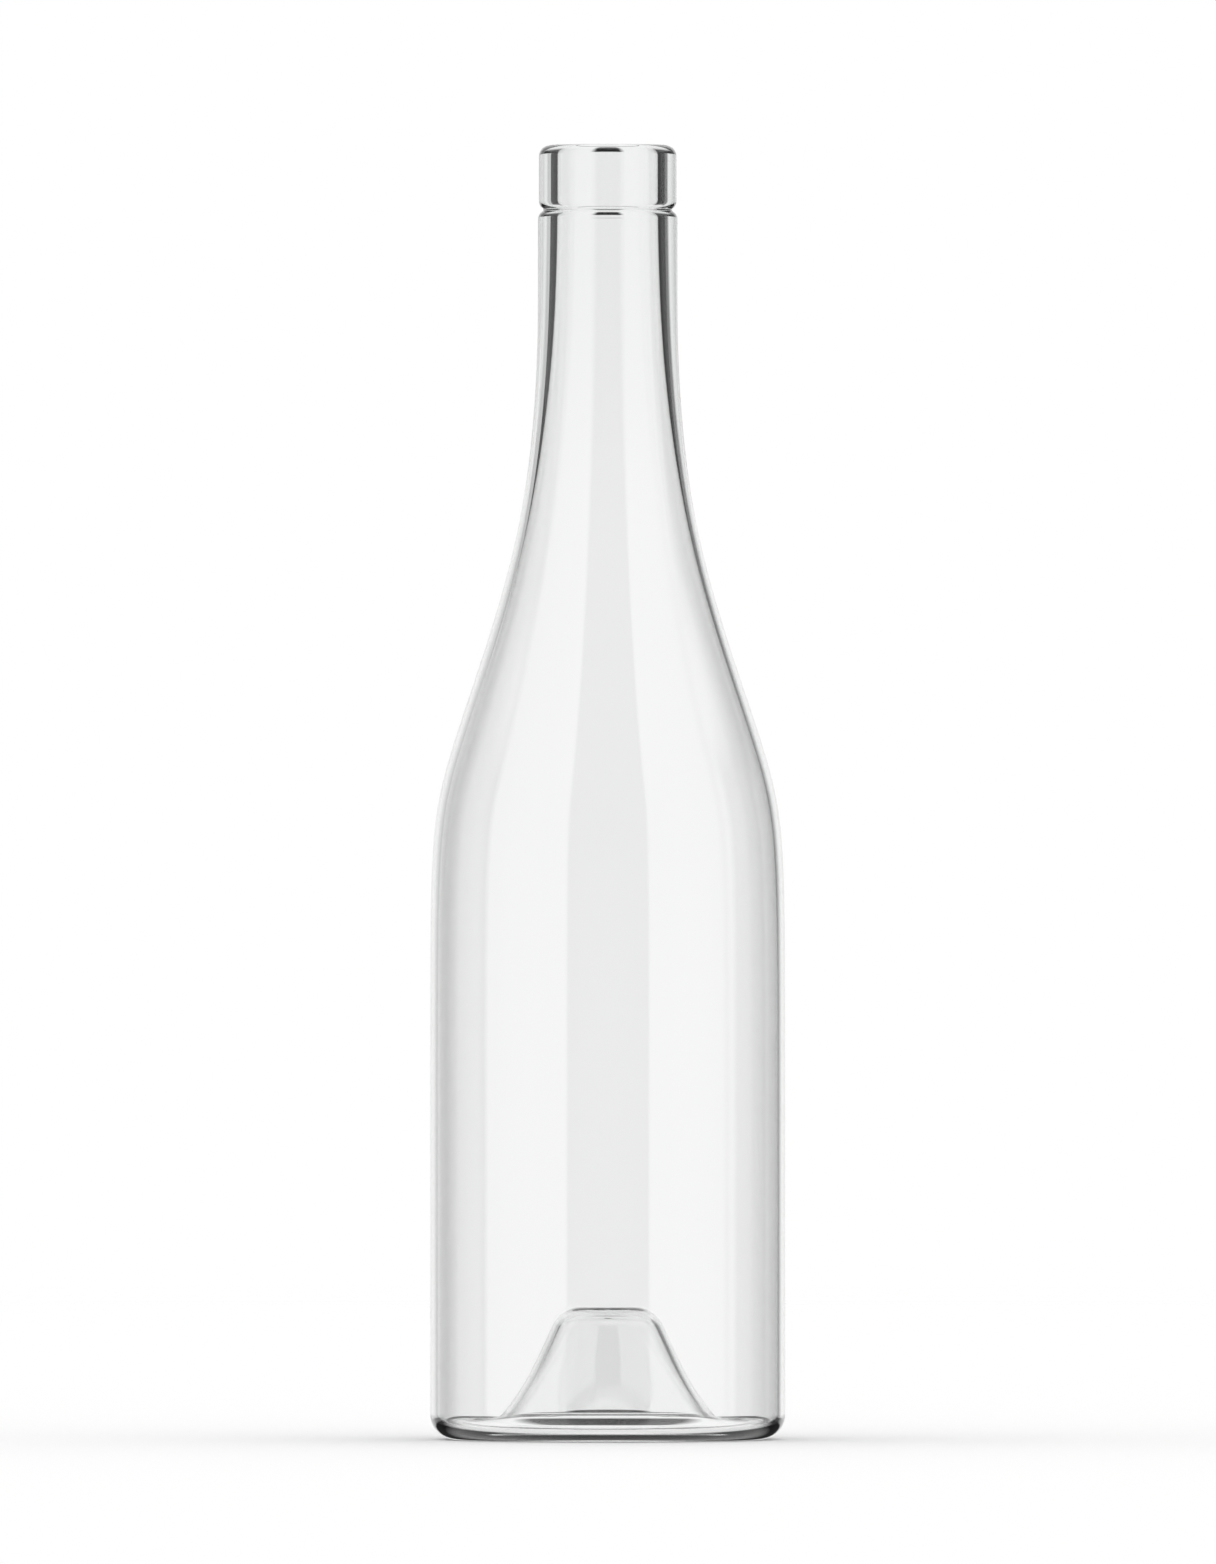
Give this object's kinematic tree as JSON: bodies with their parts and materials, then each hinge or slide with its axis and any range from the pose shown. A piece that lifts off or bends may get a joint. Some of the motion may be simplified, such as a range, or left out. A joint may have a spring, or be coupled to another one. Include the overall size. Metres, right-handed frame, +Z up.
{
  "type": "wine bottle",
  "caption": "Empty clear glass wine bottle: banded mouth with a groove below it, straight neck, sloping shoulder, straight body and a deep punt.",
  "frame": {"origin": "centre of the base, on the plane that the bottle stands on", "axes": "+Z up along the bottle's axis of revolution, from the base to the mouth; X and Y are alike"},
  "size_m": [0.0812, 0.0812, 0.296],
  "materials": {
    "glass": "clear colourless soda-lime glass, blown and fire polished"
  },
  "bodies": {
    "root": {"bottle": "glass"}
  },
  "joints": []
}
